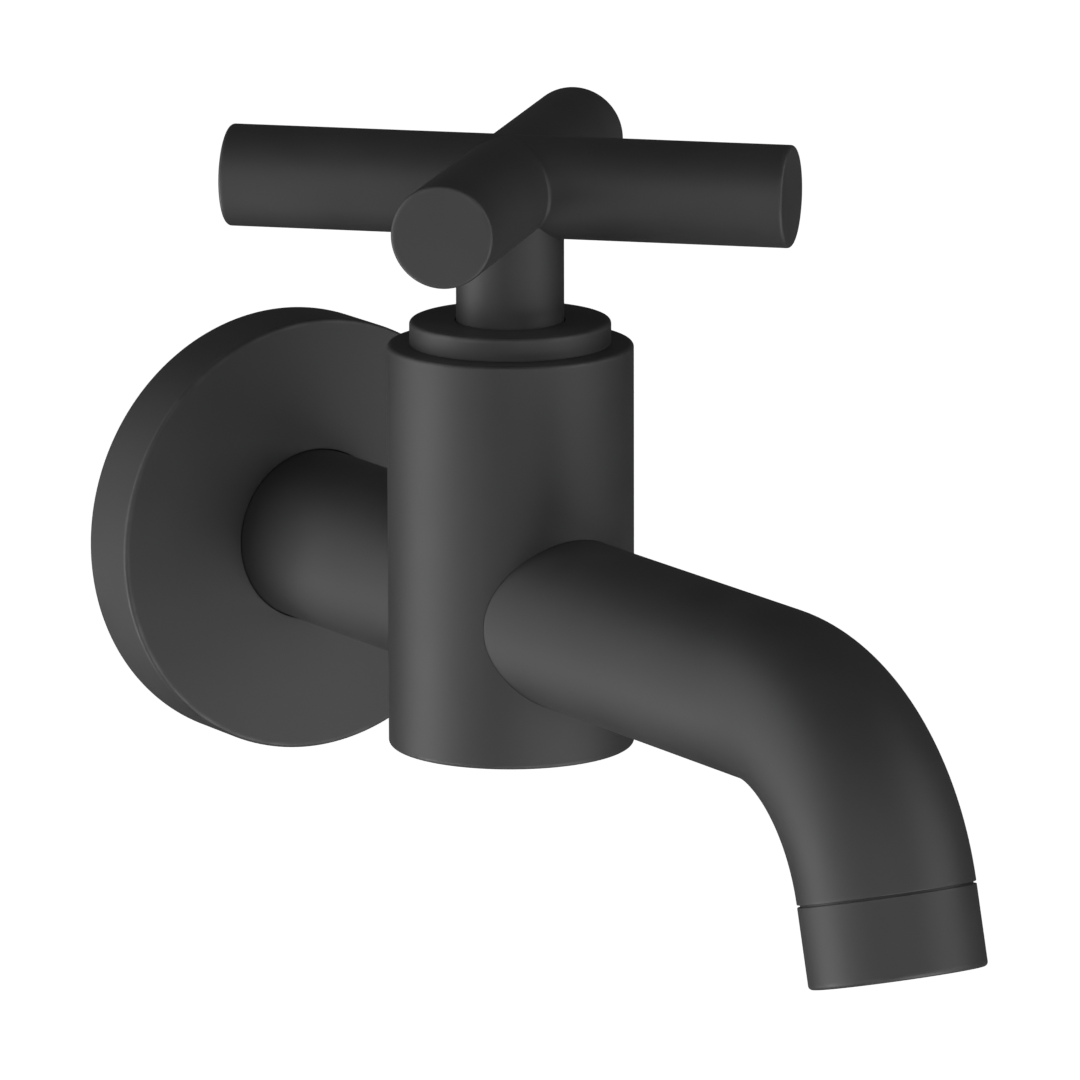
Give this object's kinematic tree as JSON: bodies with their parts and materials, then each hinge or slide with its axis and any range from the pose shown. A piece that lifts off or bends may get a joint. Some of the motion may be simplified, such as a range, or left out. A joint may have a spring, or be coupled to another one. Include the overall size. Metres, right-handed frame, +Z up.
{
  "type": "wall-mounted basin tap",
  "caption": "Matte black wall-mounted basin tap: round wall flange, straight arm, upright round body with a cross handle of crossed rods, and a tubular spout that bends down to an aerator.",
  "frame": {"origin": "on the wall face, on the axis of the inlet thread", "axes": "+Z up; +Y into the wall, along the inlet thread; the tap reaches out along -Y; +X to the right as seen by someone facing the wall"},
  "size_m": [0.0674, 0.1902, 0.1037],
  "materials": {
    "black_finish": "matte black powder coat on brass",
    "brass": "turned, bare",
    "rubber": "moulded",
    "fibre": "pressed fibre",
    "ceramic": "lapped",
    "slip_plastic": "cut",
    "steel": "plain",
    "aerator_plastic": "moulded"
  },
  "bodies": {
    "tap": {"inlet_arm": "black_finish", "valve_body": "black_finish", "spout_tube": "black_finish", "headpart_housing": "brass", "housing_gasket": "fibre", "seat_seal": "rubber", "fixed_disc": "ceramic", "bonnet_collar": "black_finish", "glide_ring": "slip_plastic", "nozzle_ring": "black_finish", "nozzle_washer": "rubber", "aerator_housing": "aerator_plastic", "aerator_screen": "steel", "aerator_jet_plate": "aerator_plastic", "aerator_grid": "aerator_plastic"},
    "handle": {"cross_handle": "black_finish", "spline_adapter": "brass", "grub_screw": "steel", "spindle": "brass", "spindle_o_rings": "rubber", "spindle_clip": "steel", "thrust_washer": "slip_plastic", "moving_disc": "ceramic"},
    "flange": {"wall_flange": "black_finish", "flange_o_ring": "rubber"}
  },
  "joints": [
    {"name": "handle_turn", "type": "hinge", "parent": "tap", "child": "handle", "pos_m": [0, -0.065, 0], "axis": [0, 0, 1], "range_deg": [0, 90]},
    {"name": "flange_slide", "type": "slide", "parent": "tap", "child": "flange", "axis": [0, -1, 0], "range_m": [0, 0.036]}
  ]
}
